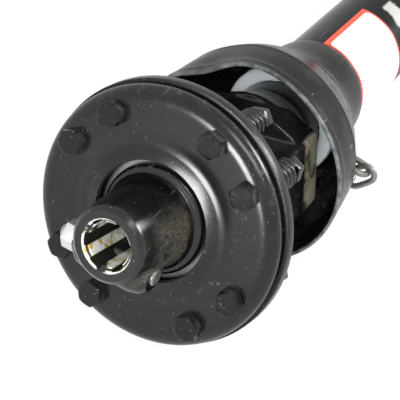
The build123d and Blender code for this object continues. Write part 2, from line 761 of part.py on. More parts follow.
# Chain
link = chain_link()
hang = radians(chain_hang_angle)
with BuildPart() as safety_chain:
    pivot = Vector(*front_centre) + Vector(chain_place, -chain_root_radius * cos(hang),
                                           -chain_root_radius * sin(hang))
    for direction, roll in chain_steps():
        level = direction.cross(Vector(0, 0, 1)).normalized()
        upright = level.cross(direction)
        wide = level * cos(radians(roll)) + upright * sin(radians(roll))
        pivot = pivot + direction * (chain_inner_length - chain_slack)
        middle = pivot - direction * ((chain_inner_length + chain_wire) / 2)
        add(link.moved(Plane(origin=middle, x_dir=direction, z_dir=direction.cross(wide)).location))
safety_chain.part.label = "safety_chain"
export_step(safety_chain.part, "parts/safety_chain.step")

# Tractor end
release = Plane(origin=place(tractor, release_offset, 0, release_place).origin, x_dir=(1, 0, 0),
                z_dir=(0, -1, 0))
with BuildPart() as tractor_yoke:
    fork(tractor,
         [(0, saddle_depth), (ear_inner - 10, saddle_depth - 4), (ear_inner, ear_radius - 6),
          (ear_inner, -ear_radius), (ear_outer, -ear_radius), (ear_outer, ear_radius),
          (ear_outer, tractor_block_start), (ear_outer - 8, tractor_block_end),
          (0, tractor_block_end)],
         [(-ear_radius, 0), (ear_radius, 0), (tractor_flank, tractor_block_start),
          (tractor_flank, tractor_block_end), (-tractor_flank, tractor_block_end),
          (-tractor_flank, tractor_block_start)])
    turn(tractor, [(0, tractor_block_end - 4), (tractor_hub_radius + 4, tractor_block_end - 4),
                   (tractor_hub_radius, tractor_block_end + 6),
                   (tractor_hub_radius, tractor_length - 2),
                   (tractor_hub_radius - 2, tractor_length), (0, tractor_length)])
    rod(release, release_boss_radius, -release_boss_far, release_boss_near)
    splined_hole(tractor, saddle_depth - 6, tractor_length)
    rod(release, release_pin_radius + fit_room, -release_boss_far, release_boss_near, Mode.SUBTRACT)
    rod(release, release_pocket_radius, release_pocket_start, release_boss_near, Mode.SUBTRACT)
    cap_holes(tractor)
tractor_yoke.part.label = "tractor_yoke"
export_step(tractor_yoke.part, "parts/tractor_yoke.step")

button_radius = release_pocket_radius - release_button_room
button_start = release_pocket_start + release_spring_length
waist_end = release_waist_start + 2 * release_spring_length - release_pocket_start
pin_end = -release_boss_far - release_clip_thickness - 1.5
with BuildPart() as release_pin:
    turn(release, [(0, pin_end), (release_pin_radius - 0.8, pin_end),
                   (release_pin_radius, pin_end + 0.8), (release_pin_radius, release_waist_start - 2),
                   (release_waist_radius, release_waist_start), (release_waist_radius, waist_end),
                   (release_pin_radius, waist_end + 2), (release_pin_radius, button_start),
                   (button_radius, button_start), (button_radius, release_button_end - 1.5),
                   (button_radius - 1.5, release_button_end), (0, release_button_end)])
release_pin.part.label = "release_pin"
export_step(release_pin.part, "parts/release_pin.step")

with BuildPart() as release_clip:
    clip_start = -release_boss_far - 0.2 - release_clip_thickness
    rod(release, release_clip_radius, clip_start, clip_start + release_clip_thickness)
    rod(release, release_pin_radius + fit_room / 2, clip_start, clip_start + release_clip_thickness,
        Mode.SUBTRACT)
release_clip.part.label = "release_clip"
export_step(release_clip.part, "parts/release_clip.step")

spring_radius = release_pocket_radius - 0.1
release_coil = coil(spring_radius, release_spring_wire, release_spring_length, release_spring_turns)
with BuildPart() as release_spring:
    add(release_coil.moved(place(release, 0, 0, release_pocket_start).location))
release_spring.part.label = "release_spring"
export_step(release_spring.part, "parts/release_spring.step")
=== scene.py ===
# %% [markdown]
# A tractor drive shaft with a friction clutch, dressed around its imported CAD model.
# The CAD model fixes every size and place. Here the visible pieces get their rolled edges, cast skin,
# round spring wire and a finish with dust and wear. All objects are in metres, in the CAD's frame.

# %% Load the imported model
import bpy
import bmesh
import json
from math import asin, cos, exp, pi, radians, sin, sqrt, tan
from mathutils import Matrix, Vector


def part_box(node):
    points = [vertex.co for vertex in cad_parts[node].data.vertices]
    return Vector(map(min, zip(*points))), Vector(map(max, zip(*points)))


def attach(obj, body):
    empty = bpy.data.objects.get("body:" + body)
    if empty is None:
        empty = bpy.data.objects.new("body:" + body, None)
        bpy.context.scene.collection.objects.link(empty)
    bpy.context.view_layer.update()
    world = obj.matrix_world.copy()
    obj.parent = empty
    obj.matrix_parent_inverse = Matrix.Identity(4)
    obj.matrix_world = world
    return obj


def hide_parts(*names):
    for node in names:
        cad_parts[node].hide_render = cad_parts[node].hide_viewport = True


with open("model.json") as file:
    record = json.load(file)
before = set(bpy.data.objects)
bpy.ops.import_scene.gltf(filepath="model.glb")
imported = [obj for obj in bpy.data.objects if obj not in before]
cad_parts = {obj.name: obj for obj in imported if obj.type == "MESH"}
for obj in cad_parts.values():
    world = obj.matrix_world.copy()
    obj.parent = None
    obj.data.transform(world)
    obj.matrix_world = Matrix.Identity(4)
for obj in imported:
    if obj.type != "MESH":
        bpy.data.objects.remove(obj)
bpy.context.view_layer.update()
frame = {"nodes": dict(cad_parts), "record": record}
joints = {joint["name"]: joint for joint in frame["record"]["behaviour"]["joints"]}

# %% [markdown]
# Three frames carry the measures of the real thing. The clutch's frame sits in the first cross joint and
# points out of the hub's mouth; the shaft's frame sits there too and points along the tubes; the third
# sits in the far joint. Reading the joint from the record keeps the pieces right if the CAD moves.

# %% Frames in millimetres
MM = 0.001


def frame_at(origin, right, out):
    """A matrix from millimetres along right, up and out to metres in the CAD's frame."""
    right = Vector(right).normalized()
    out = Vector(out).normalized()
    turn = Matrix((right, out.cross(right), out)).transposed().to_4x4()
    return Matrix.Translation(origin) @ turn @ Matrix.Scale(MM, 4)


joint_front = Vector(joints["front_joint_level"]["pos_m"])
joint_rear = Vector(joints["rear_joint_level"]["pos_m"])
clutch = frame_at(joint_front, (0, -1, 0), joints["clutch_slip"]["axis"])
shaft = frame_at(joint_front, (0, 1, 0), (1, 0, 0))
shaft_rear = frame_at(joint_rear, (0, -1, 0), (-1, 0, 0))
origin_height = (clutch.inverted() @ Vector((0, 0, 0))).z
print("the CAD's origin is", round(origin_height, 2), "mm in front of the joint")

# %% [markdown]
# The camera stands where the photographer stood: high, in front of the mouth and to its right. Its place
# and lens come from fitting the clutch's circles, the bolts and the bell to the picture.

# %% Camera
forward = Vector((0.74447, 0.4189, -0.5198)).normalized()
camera_from_joint = Vector((-0.9051, -0.5058, 0.6230))
camera_data = bpy.data.cameras.new("photo_camera")
camera_data.lens = 159.6
camera_data.sensor_width = 36
camera_data.clip_start = 0.05
camera = bpy.data.objects.new("photo_camera", camera_data)
camera.location = joint_front + camera_from_joint
camera.rotation_euler = forward.to_track_quat("-Z", "Y").to_euler()
bpy.context.scene.collection.objects.link(camera)
bpy.context.scene.camera = camera
bpy.context.scene.view_settings.view_transform = "Standard"
print("camera is", round((camera.location - joint_front).length, 3), "m from the joint")

# %% [markdown]
# Black paint shows almost nothing but what it mirrors. So the room matters more than the paint. The white
# surrounding gives the even grey. A soft lamp in front of the mouth gives the sheen on the plate's dish
# and the bright band where its rim begins to roll. A long one beside the camera adds a faint second line
# on the rim. The throat lamp sends diffuse light only, to the nylon ring deep in the bell. The side lamp
# draws the bell's outline.

# %% Room: world, lamps and floor
def soft_lamp(name, toward, distance, size, power, aim=(0.08, 0, 0.0), spin=0.0):
    """A rectangular area lamp that looks at the clutch from a direction, turned about its own axis."""
    data = bpy.data.lights.new(name, "AREA")
    data.shape = "RECTANGLE"
    data.size, data.size_y = size
    data.energy = power
    lamp = bpy.data.objects.new(name, data)
    lamp.location = Vector(aim) + Vector(toward).normalized() * distance
    look = (-Vector(toward)).to_track_quat("-Z", "Y").to_matrix() @ Matrix.Rotation(radians(spin), 3, "Z")
    lamp.rotation_euler = look.to_euler()
    bpy.context.scene.collection.objects.link(lamp)
    return lamp


def seen_ray(tree):
    """1 for rays that draw the background: straight ones, mirrored ones and those through glass."""
    path = tree.nodes.new("ShaderNodeLightPath")
    highest = path.outputs["Is Camera Ray"]
    for ray in ("Is Glossy Ray", "Is Transmission Ray"):
        larger = tree.nodes.new("ShaderNodeMath")
        larger.operation = "MAXIMUM"
        tree.links.new(highest, larger.inputs[0])
        tree.links.new(path.outputs[ray], larger.inputs[1])
        highest = larger.outputs[0]
    return highest


view_right = Vector((0.4904, -0.8715, 0.0))
view_up = Vector((0.4530, 0.2550, 0.8543))
soft_lamp("rim_lamp", view_right * 0.36 + view_up * 0.33 - forward * 0.87, 1.6, (0.5, 0.9), 11, spin=35)
throat_lamp = soft_lamp("throat_lamp", view_up * -0.04 - view_right * 0.05 - forward, 1.9, (0.6, 0.6), 36)
throat_lamp.visible_glossy = False
soft_lamp("mouth_lamp", (-0.982, 0.09, 0.153), 1.1, (0.38, 0.40), 14)
soft_lamp("side_lamp", view_right * 0.86 + view_up * 0.46 + forward * 0.10, 1.5, (0.5, 0.5), 16)

world = bpy.data.worlds.new("studio")
bpy.context.scene.world = world
world.use_nodes = True
sky = world.node_tree
background = sky.nodes["Background"]
background.inputs["Color"].default_value = (1, 1, 1, 1)
strength = sky.nodes.new("ShaderNodeMapRange")
strength.inputs["To Min"].default_value = 0.75
strength.inputs["To Max"].default_value = 1.0
sky.links.new(seen_ray(sky), strength.inputs["Value"])
sky.links.new(strength.outputs["Result"], background.inputs["Strength"])

floor_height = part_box("guard_bell_front")[0][2] - 0.0004
floor_mesh = bmesh.new()
bmesh.ops.create_grid(floor_mesh, x_segments=1, y_segments=1, size=6)
bmesh.ops.translate(floor_mesh, verts=floor_mesh.verts, vec=(0.4, 0, floor_height))
floor_data = bpy.data.meshes.new("floor")
floor_mesh.to_mesh(floor_data)
floor_mesh.free()
floor = bpy.data.objects.new("floor", floor_data)
bpy.context.scene.collection.objects.link(floor)
floor_paint = bpy.data.materials.new("floor_paint")
floor_paint.use_nodes = True
tree = floor_paint.node_tree
tree.nodes.clear()
white = tree.nodes.new("ShaderNodeEmission")
lit = tree.nodes.new("ShaderNodeBsdfDiffuse")
lit.inputs["Color"].default_value = (0.9, 0.9, 0.9, 1)
share = tree.nodes.new("ShaderNodeMath")
share.operation = "MULTIPLY"
share.inputs[1].default_value = 0.86
blend = tree.nodes.new("ShaderNodeMixShader")
out = tree.nodes.new("ShaderNodeOutputMaterial")
tree.links.new(seen_ray(tree), share.inputs[0])
tree.links.new(share.outputs[0], blend.inputs["Fac"])
tree.links.new(lit.outputs[0], blend.inputs[1])
tree.links.new(white.outputs[0], blend.inputs[2])
tree.links.new(blend.outputs[0], out.inputs["Surface"])
floor_data.materials.append(floor_paint)
print("floor at", round(floor_height, 4), "m")

# %% [markdown]
# Finishes. Each paint on this shaft carries the same kinds of story: pale dust that settled in patches,
# fine specks, and thin scratches. One node group makes those masks from object coordinates, and every
# material places it with its own amounts, so that the look stays one family.

# %% Node helpers
def place(tree, kind, settings=None, **values):
    """A new node with some of its sockets set. A name with spaces is written with underscores."""
    node = tree.nodes.new("ShaderNode" + kind)
    for name, value in (settings or {}).items():
        setattr(node, name, value)
    for name, value in values.items():
        node.inputs[name.replace("_", " ")].default_value = value
    return node


def step(tree, source, low, high, to_low=0.0, to_high=1.0):
    """Stretches one range of values over another, clamped."""
    ramp = place(tree, "MapRange", {"interpolation_type": "SMOOTHSTEP"}, From_Min=low, From_Max=high,
                 To_Min=to_low, To_Max=to_high)
    tree.links.new(source, ramp.inputs["Value"])
    return ramp.outputs["Result"]


def maths(tree, operation, first, second):
    """Two values put together by one operation. Either may be a number."""
    node = place(tree, "Math", {"operation": operation})
    for socket, value in zip(node.inputs, (first, second)):
        if isinstance(value, (int, float)):
            socket.default_value = value
        else:
            tree.links.new(value, socket)
    return node.outputs[0]


def stain(tree, under, over, mask):
    """A colour laid over another where a mask says."""
    mix = place(tree, "Mix", {"data_type": "RGBA"})
    for index, value in ((6, under), (7, over)):
        if isinstance(value, tuple):
            mix.inputs[index].default_value = (*value, 1)
        else:
            tree.links.new(value, mix.inputs[index])
    tree.links.new(mask, mix.inputs[0])
    return mix.outputs[2]


def times(tree, first, *others):
    """The product of values. Each may be a number."""
    for other in others:
        first = maths(tree, "MULTIPLY", first, other)
    return first


def apart(tree, value, middle):
    """How far a value is from a middle, on either side."""
    return maths(tree, "ABSOLUTE", maths(tree, "SUBTRACT", value, middle), 0.0)


def roughen(tree, roughness, mask, amount):
    """A roughness raised where a mask says."""
    return maths(tree, "ADD", roughness, times(tree, mask, amount))


def pattern(tree, scale, detail, roughness, **values):
    """A cloudy noise in the piece's own coordinates."""
    cloud = place(tree, "TexNoise", Scale=scale, Detail=detail, Roughness=roughness, **values)
    tree.links.new(place(tree, "TexCoord").outputs["Object"], cloud.inputs["Vector"])
    return cloud.outputs["Fac"]


# %% Shared effect: wear
def make_wear():
    """The node group that puts out dust, specks, scratches and a grain height."""
    group = bpy.data.node_groups.new("wear", "ShaderNodeTree")
    face = group.interface
    for name, value in (("Dust Size", 18.0), ("Dust Amount", 0.5), ("Speck Amount", 0.5),
                        ("Scratch Amount", 0.5), ("Grain Size", 900.0)):
        socket = face.new_socket(name=name, in_out="INPUT", socket_type="NodeSocketFloat")
        socket.default_value = value
    for name in ("Dust", "Specks", "Scratches", "Grain"):
        face.new_socket(name=name, in_out="OUTPUT", socket_type="NodeSocketFloat")
    start = group.nodes.new("NodeGroupInput")
    end = group.nodes.new("NodeGroupOutput")
    spot = place(group, "TexCoord").outputs["Object"]
    cloud = place(group, "TexNoise", Detail=6.0, Roughness=0.62)
    group.links.new(spot, cloud.inputs["Vector"])
    group.links.new(start.outputs["Dust Size"], cloud.inputs["Scale"])
    settled = step(group, cloud.outputs["Fac"], 0.46, 0.72)
    group.links.new(times(group, settled, start.outputs["Dust Amount"]), end.inputs["Dust"])
    cells = place(group, "TexVoronoi", Scale=760.0)
    group.links.new(spot, cells.inputs["Vector"])
    dot = step(group, cells.outputs["Distance"], 0.24, 0.12)
    lucky = place(group, "SeparateColor")
    group.links.new(cells.outputs["Color"], lucky.inputs["Color"])
    chosen = step(group, lucky.outputs["Red"], 0.968, 0.98)
    group.links.new(times(group, dot, chosen, start.outputs["Speck Amount"]), end.inputs["Specks"])
    total = None
    for turned in ((0.4, 0.9, 0.2), (1.9, 0.3, 1.2)):
        spin = place(group, "Mapping", Rotation=turned, Scale=(14, 260, 260))
        group.links.new(spot, spin.inputs["Vector"])
        lines = place(group, "TexNoise", Scale=1.0, Detail=2.0)
        group.links.new(spin.outputs["Vector"], lines.inputs["Vector"])
        where = place(group, "TexNoise", Scale=38.0, Detail=2.0)
        group.links.new(spot, where.inputs["Vector"])
        thin = times(group, step(group, lines.outputs["Fac"], 0.66, 0.72),
                     step(group, where.outputs["Fac"], 0.52, 0.64))
        total = thin if total is None else maths(group, "MAXIMUM", total, thin)
    group.links.new(times(group, total, start.outputs["Scratch Amount"]), end.inputs["Scratches"])
    grain = place(group, "TexNoise", Detail=4.0, Roughness=0.6)
    group.links.new(spot, grain.inputs["Vector"])
    group.links.new(start.outputs["Grain Size"], grain.inputs["Scale"])
    group.links.new(grain.outputs["Fac"], end.inputs["Grain"])
    return group


wear_group = make_wear()
print("node group:", wear_group.name)


# %% One recipe for every finish
def finish(name, colour, rough, dust=0.3, dust_colour=(0.13, 0.125, 0.11), specks=0.6, scratches=0.3,
           dust_size=18.0, grain=0.02, grain_size=900.0, metallic=0.0, scratch_colour=(0.22, 0.22, 0.21),
           rough_spread=0.12, extra=None, **sockets):
    """A Principled material whose colour, roughness and bump come from the wear group."""
    material = bpy.data.materials.new(name)
    material.use_nodes = True
    tree = material.node_tree
    shader = tree.nodes["Principled BSDF"]
    shader.inputs["Metallic"].default_value = metallic
    for socket, value in sockets.items():
        shader.inputs[socket.replace("_", " ")].default_value = value
    wear = tree.nodes.new("ShaderNodeGroup")
    wear.node_tree = wear_group
    for socket, value in (("Dust Size", dust_size), ("Dust Amount", dust), ("Speck Amount", specks),
                          ("Scratch Amount", scratches), ("Grain Size", grain_size)):
        wear.inputs[socket].default_value = value
    tone = stain(tree, colour, dust_colour, wear.outputs["Dust"])
    tone = stain(tree, tone, scratch_colour, wear.outputs["Scratches"])
    tone = stain(tree, tone, (0.45, 0.44, 0.41), wear.outputs["Specks"])
    dusty = step(tree, wear.outputs["Dust"], 0.0, 1.0, 0.0, rough_spread * 2)
    smoothest = rough - rough_spread / 2
    grainy = step(tree, wear.outputs["Grain"], 0.3, 0.7, smoothest, smoothest + rough_spread)
    roughness = maths(tree, "ADD", dusty, grainy)
    height = wear.outputs["Grain"]
    if extra:
        tone, roughness, height = extra(tree, tone, roughness, height)
    bump = place(tree, "Bump", Strength=1.0, Distance=grain * MM)
    tree.links.new(height, bump.inputs["Height"])
    tree.links.new(tone, shader.inputs["Base Color"])
    tree.links.new(roughness, shader.inputs["Roughness"])
    tree.links.new(bump.outputs["Normal"], shader.inputs["Normal"])
    return material


def local(tree, matrix):
    """Object coordinates turned into millimetres in one of the three frames: right, up and out."""
    spot = place(tree, "TexCoord").outputs["Object"]
    moved = place(tree, "VectorMath", {"operation": "SUBTRACT"})
    moved.inputs[1].default_value = matrix.translation
    tree.links.new(spot, moved.inputs[0])
    parts = []
    for column in range(3):
        along = place(tree, "VectorMath", {"operation": "DOT_PRODUCT"})
        axis = matrix.col[column].to_3d().normalized() / MM
        along.inputs[1].default_value = axis
        tree.links.new(moved.outputs[0], along.inputs[0])
        parts.append(along.outputs["Value"])
    return parts


def far_from_axis(tree, right, up):
    """The distance from a frame's out axis."""
    square = maths(tree, "ADD", times(tree, right, right), times(tree, up, up))
    return maths(tree, "SQRT", square, 0.0)


# %% [markdown]
# The pressure plate is pressed sheet with satin black paint. Its rolled rim is rubbed grey where other
# parts lay on it, most at the top right, and the left edge is worn to a speckled grey.

# %% Paints and metals
def rim_rub(tree, tone, roughness, height):
    """Rubs the plate's rim, more on its upper right and left sides."""
    right, up, out = local(tree, clutch)
    rim = step(tree, far_from_axis(tree, right, up), 83.5, 88.0)
    upper = step(tree, maths(tree, "ADD", up, times(tree, right, 0.35)), 20.0, 80.0)
    left = times(tree, step(tree, right, -60.0, -82.0), 0.8)
    worn = step(tree, pattern(tree, 130.0, 8.0, 0.75), 0.50, 0.70, 0.0, 0.6)
    rub = times(tree, rim, maths(tree, "MAXIMUM", upper, left), worn)
    return stain(tree, tone, (0.060, 0.056, 0.047), rub), roughen(tree, roughness, rub, 0.25), height


def cast_skin(tree, tone, roughness, height):
    """Leaves the hub's right flank a bare brown-grey casting, under paint that thins out there."""
    right, up, out = local(tree, clutch)
    flank = step(tree, maths(tree, "SUBTRACT", right, times(tree, up, 0.30)), 12.0, 27.0)
    between = times(tree, step(tree, out, 117.0, 106.0), step(tree, out, 75.0, 79.0))
    nose_only = step(tree, far_from_axis(tree, right, up), 33.5, 31.0)
    patches = step(tree, pattern(tree, 60.0, 5.0, 0.65), 0.30, 0.55)
    thin = times(tree, flank, between, nose_only, patches)
    fine = pattern(tree, 700.0, 4.0, 0.7)
    brown = stain(tree, (0.016, 0.015, 0.012), (0.085, 0.077, 0.058), step(tree, fine, 0.40, 0.68))
    height = maths(tree, "ADD", times(tree, height, 0.4), times(tree, fine, thin, 5.0))
    return stain(tree, tone, brown, thin), roughen(tree, roughness, thin, 0.3), height


def bell_marks(tree, tone, roughness, height):
    """Rubs the bell's lip and scuffs its shoulder."""
    right, up, out = local(tree, shaft)
    blotch = pattern(tree, 90.0, 5.0, 0.7)
    rub = times(tree, step(tree, out, 50.5, 47.5), step(tree, blotch, 0.35, 0.65, 0.25, 1.0))
    scuff = times(tree, step(tree, blotch, 0.55, 0.70), step(tree, apart(tree, out, 115.0), 16.0, 4.0), 0.6)
    tone = stain(tree, tone, (0.16, 0.165, 0.165), rub)
    return stain(tree, tone, (0.15, 0.15, 0.14), scuff), roughness, height


def tube_scuffs(tree, tone, roughness, height):
    """Chalks the guard tube where something rubbed it: a long pale strip, and a spot beyond the label."""
    right, up, out = local(tree, shaft)
    ragged = times(tree, pattern(tree, 60.0, 6.0, 0.7), 12.0)
    strip = times(tree, step(tree, maths(tree, "ADD", out, ragged), 232.0, 234.0),
                  step(tree, maths(tree, "ADD", right, times(tree, ragged, 0.3)), 27.0, 29.0))
    spot = times(tree, step(tree, maths(tree, "ADD", apart(tree, out, 264.0), ragged), 15.0, 12.0),
                 step(tree, apart(tree, right, -22.0), 9.0, 7.0))
    chalk = maths(tree, "MAXIMUM", strip, spot)
    tone = stain(tree, tone, (0.42, 0.42, 0.40), times(tree, chalk, 0.9))
    return tone, roughen(tree, roughness, chalk, 0.3), height


def bare_and_lit_flank(tree, tone, roughness, height):
    """Leaves the outer ear faces of the front tube yoke bare brownish steel, made lighter as painted light.
    """
    right, up, out = local(tree, shaft)
    face = step(tree, apart(tree, right, 0.0), 50.0, 51.2)
    worn = step(tree, pattern(tree, 80.0, 6.0, 0.7), 0.36, 0.50, 0.2, 1.0)
    bare = times(tree, face, worn, step(tree, out, 44.0, 50.0))
    # Partly painted light: the pale brown colour also stands in for the light on the lit ear face.
    return stain(tree, tone, (0.19, 0.175, 0.13), bare), roughen(tree, roughness, bare, 0.25), height


def grease_and_groove_shade(tree, tone, roughness, height):
    """Bare steel teeth under yellow grease, painted shade in the grooves inside the bore, and black with
    wear.
    """
    right, up, out = local(tree, clutch)
    smear = pattern(tree, 130.0, 5.0, 0.65, Distortion=0.6)
    soot = pattern(tree, 75.0, 3.0, 0.5)
    amber = stain(tree, (0.50, 0.30, 0.02), (0.22, 0.22, 0.04), step(tree, soot, 0.40, 0.60))
    low = step(tree, maths(tree, "ADD", up, times(tree, right, 0.4)), 12.0, -12.0)
    groove_shade = times(tree, step(tree, far_from_axis(tree, right, up), 15.3, 15.9), step(tree, out, 126.4, 125.6))
    tone = stain(tree, tone, amber, times(tree, step(tree, smear, 0.44, 0.60), low))
    # Painted shade: the grooves inside the bore are made near black.
    tone = stain(tree, tone, (0.012, 0.013, 0.010), groove_shade)
    tone = stain(tree, tone, (0.012, 0.012, 0.010), step(tree, soot, 0.56, 0.66))
    height = maths(tree, "ADD", times(tree, height, 0.2), times(tree, smear, 3.0))
    return tone, step(tree, smear, 0.3, 0.7, 0.50, 0.28), height


plate_paint = finish("plate_paint", (0.0016, 0.0018, 0.0013), 0.22, dust=0.03, specks=0.45, scratches=0.15,
                     grain=0.005, grain_size=500.0, rough_spread=0.05, extra=rim_rub, Specular_IOR_Level=0.44)
hub_paint = finish("hub_paint", (0.0018, 0.0020, 0.0021), 0.21, dust=0.04, specks=0.6, scratches=0.12,
                   grain=0.012, grain_size=420.0, rough_spread=0.06, extra=cast_skin)
bolt_paint = finish("bolt_paint", (0.001, 0.001, 0.0009), 0.20, dust=0.02, specks=0.5, scratches=0.3,
                    grain=0.005, rough_spread=0.05, Specular_IOR_Level=0.35)
# Lighter than bolt_paint as painted light: it stands in for the lamps on the heads' side faces. Its dust and
# scratches are wear.
worn_lit_facet_paint = finish("worn_lit_facet_paint", (0.009, 0.009, 0.0085), 0.30, dust=0.4, dust_colour=(0.10, 0.10, 0.09),
                     specks=0.5, scratches=0.9, dust_size=60.0, grain=0.015)
spring_paint = finish("spring_paint", (0.004, 0.004, 0.004), 0.20, dust=0.05, specks=0.3, scratches=0.1,
                      grain=0.006, rough_spread=0.05)
flange_paint = finish("flange_paint", (0.002, 0.002, 0.0018), 0.30, dust=0.12,
                      dust_colour=(0.06, 0.056, 0.048), specks=0.6, scratches=0.4, grain=0.03,
                      Specular_IOR_Level=0.28)
yoke_paint = finish("yoke_paint", (0.005, 0.005, 0.0047), 0.22, dust=0.12, specks=0.4, scratches=0.3,
                    grain=0.04, grain_size=260.0, extra=bare_and_lit_flank)
forging_paint = finish("forging_paint", (0.005, 0.005, 0.0047), 0.25, dust=0.14, specks=0.5, scratches=0.3,
                       grain=0.06, grain_size=260.0)
bell_plastic = finish("bell_plastic", (0.0048, 0.0054, 0.0058), 0.27, dust=0.5,
                      dust_colour=(0.042, 0.040, 0.035), specks=0.5, scratches=0.5, dust_size=30.0,
                      grain=0.03, grain_size=500.0, extra=bell_marks, Specular_IOR_Level=0.10)
tube_plastic = finish("tube_plastic", (0.0042, 0.0046, 0.0050), 0.22, dust=0.4,
                      dust_colour=(0.042, 0.040, 0.035), specks=0.4, scratches=0.35, grain=0.015,
                      extra=tube_scuffs, Specular_IOR_Level=0.13)
nylon = finish("nylon", (0.70, 0.76, 0.79), 0.45, dust=0.10, dust_colour=(0.35, 0.36, 0.35), specks=0.0,
               scratches=0.1, scratch_colour=(0.4, 0.42, 0.42), grain=0.01)
dull_zinc = finish("dull_zinc", (0.24, 0.24, 0.225), 0.42, dust=0.4, dust_colour=(0.16, 0.155, 0.13),
                   specks=0.0, scratches=0.5, scratch_colour=(0.12, 0.12, 0.11), metallic=0.8, grain=0.03)
zinc = finish("zinc", (0.62, 0.62, 0.60), 0.34, dust=0.35, dust_colour=(0.42, 0.41, 0.36), specks=0.0,
              scratches=0.4, scratch_colour=(0.30, 0.30, 0.29), metallic=0.9, grain=0.02)
steel = finish("steel", (0.42, 0.42, 0.41), 0.32, dust=0.30, dust_colour=(0.16, 0.13, 0.10), specks=0.0,
               scratches=0.3, metallic=1.0, grain=0.01)
dark_steel = finish("dark_steel", (0.16, 0.16, 0.165), 0.35, dust=0.25, dust_colour=(0.10, 0.08, 0.06),
                    specks=0.0, scratches=0.3, metallic=1.0, grain=0.01)
bronze = finish("bronze", (0.50, 0.34, 0.16), 0.40, dust=0.30, dust_colour=(0.20, 0.13, 0.07), specks=0.0,
                metallic=1.0, grain=0.01)
lining = finish("lining", (0.085, 0.066, 0.048), 0.85, dust=0.4, dust_colour=(0.05, 0.045, 0.04), specks=0.9,
                grain=0.05, grain_size=1500.0)
rubber = finish("rubber", (0.014, 0.014, 0.014), 0.55, dust=0.2, specks=0.1, scratches=0.1, grain=0.02)
bore_steel = finish("bore_steel", (0.62, 0.63, 0.60), 0.3, dust=0.1, specks=0.0, scratches=0.2, metallic=0.25,
                    grain=0.05, extra=grease_and_groove_shade)
print("materials:", len(bpy.data.materials))

# %% [markdown]
# Modelling helpers. A turned part is an outline of radius and height, spun once round. A ring of edges
# on it is then rounded with Bevel, as the real edge was rolled or broken.

# %% Modelling helpers
def lathe(outline, steps=192):
    """A closed outline of (radius, height) spun about the out axis."""
    mesh = bmesh.new()
    spots = [mesh.verts.new((radius, 0, height)) for radius, height in outline]
    edges = [mesh.edges.new((spots[i - 1], spots[i])) for i in range(len(spots))]
    bmesh.ops.spin(mesh, geom=spots + edges, cent=(0, 0, 0), axis=(0, 0, 1), angle=2 * pi, steps=steps,
                   use_merge=True)
    bmesh.ops.remove_doubles(mesh, verts=mesh.verts, dist=0.001)
    bmesh.ops.recalc_face_normals(mesh, faces=mesh.faces)
    return mesh


def round_ring(mesh, radius, height, size, segments=3):
    """Rounds the ring of edges at one radius and height of a turned part."""
    ring = []
    for edge in mesh.edges:
        if all(abs(sqrt(v.co.x ** 2 + v.co.y ** 2) - radius) < 0.02 and abs(v.co.z - height) < 0.02
               for v in edge.verts):
            ring.append(edge)
    bmesh.ops.bevel(mesh, geom=ring, offset=size, segments=segments, affect="EDGES", profile=0.5, material=-1,
                    clamp_overlap=True)
    return len(ring)


def to_object(name, mesh, matrix=None, materials=(), smooth=35):
    """Turns a bmesh into an object at the origin, smooth except across sharp angles."""
    if matrix is not None:
        mesh.transform(matrix)
        if matrix.determinant() < 0:
            bmesh.ops.reverse_faces(mesh, faces=mesh.faces)
    data = bpy.data.meshes.new(name)
    mesh.to_mesh(data)
    mesh.free()
    item = bpy.data.objects.new(name, data)
    bpy.context.scene.collection.objects.link(item)
    for material in materials:
        data.materials.append(material)
    soften(data, smooth)
    return item


def soften(data, smooth=35):
    """Smooth shading that keeps edges sharper than an angle."""
    data.polygons.foreach_set("use_smooth", [True] * len(data.polygons))
    data.set_sharp_from_angle(angle=radians(smooth))
    data.update()


def settle(item, smooth=None):
    """Puts an object's modifiers into its mesh."""
    shape = item.evaluated_get(bpy.context.evaluated_depsgraph_get())
    data = bpy.data.meshes.new_from_object(shape)
    old = item.data
    item.modifiers.clear()
    item.data = data
    bpy.data.meshes.remove(old)
    data.name = item.name
    if smooth:
        soften(data, smooth)
    return item


def carve(item, tool, operation, smooth=None):
    """Adds, cuts or keeps what another object says, then drops that object."""
    cut = item.modifiers.new("carve", "BOOLEAN")
    cut.operation = operation
    cut.object = tool
    cut.solver = "EXACT"
    cut.material_mode = "TRANSFER"
    settle(item, smooth)
    bpy.data.objects.remove(tool)
    return item


def fit(item, body, slot, *nodes):
    """Says which body a piece rides on and which CAD nodes it stands for, and hides those. The slot is not
    used.
    """
    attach(item, body)
    if nodes:
        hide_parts(*nodes)
    print(item.name, "rides on", body, "with", len(item.data.polygons), "faces")
    return item


def merged_copy(node, name):
    """A welded copy of a CAD node's mesh, with its flat areas made whole, in a new object."""
    mesh = bmesh.new()
    mesh.from_mesh(frame["nodes"][node].data)
    bmesh.ops.remove_doubles(mesh, verts=mesh.verts, dist=0.000002)
    bmesh.ops.dissolve_limit(mesh, angle_limit=radians(0.6), verts=mesh.verts, edges=mesh.edges)
    return to_object(name, mesh)


def broken_edges(node, name, width, material, body, slot, segments=2, angle=32):
    """A CAD node with its sharp edges rounded by a bevel, as machining or tumbling leaves them."""
    item = merged_copy(node, name)
    item.data.materials.clear()
    item.data.materials.append(material)
    bevel = item.modifiers.new("edges", "BEVEL")
    bevel.width = width * MM
    bevel.segments = segments
    bevel.limit_method = "ANGLE"
    bevel.angle_limit = radians(angle)
    bevel.harden_normals = False
    settle(item, 32)
    return fit(item, body, slot, node)


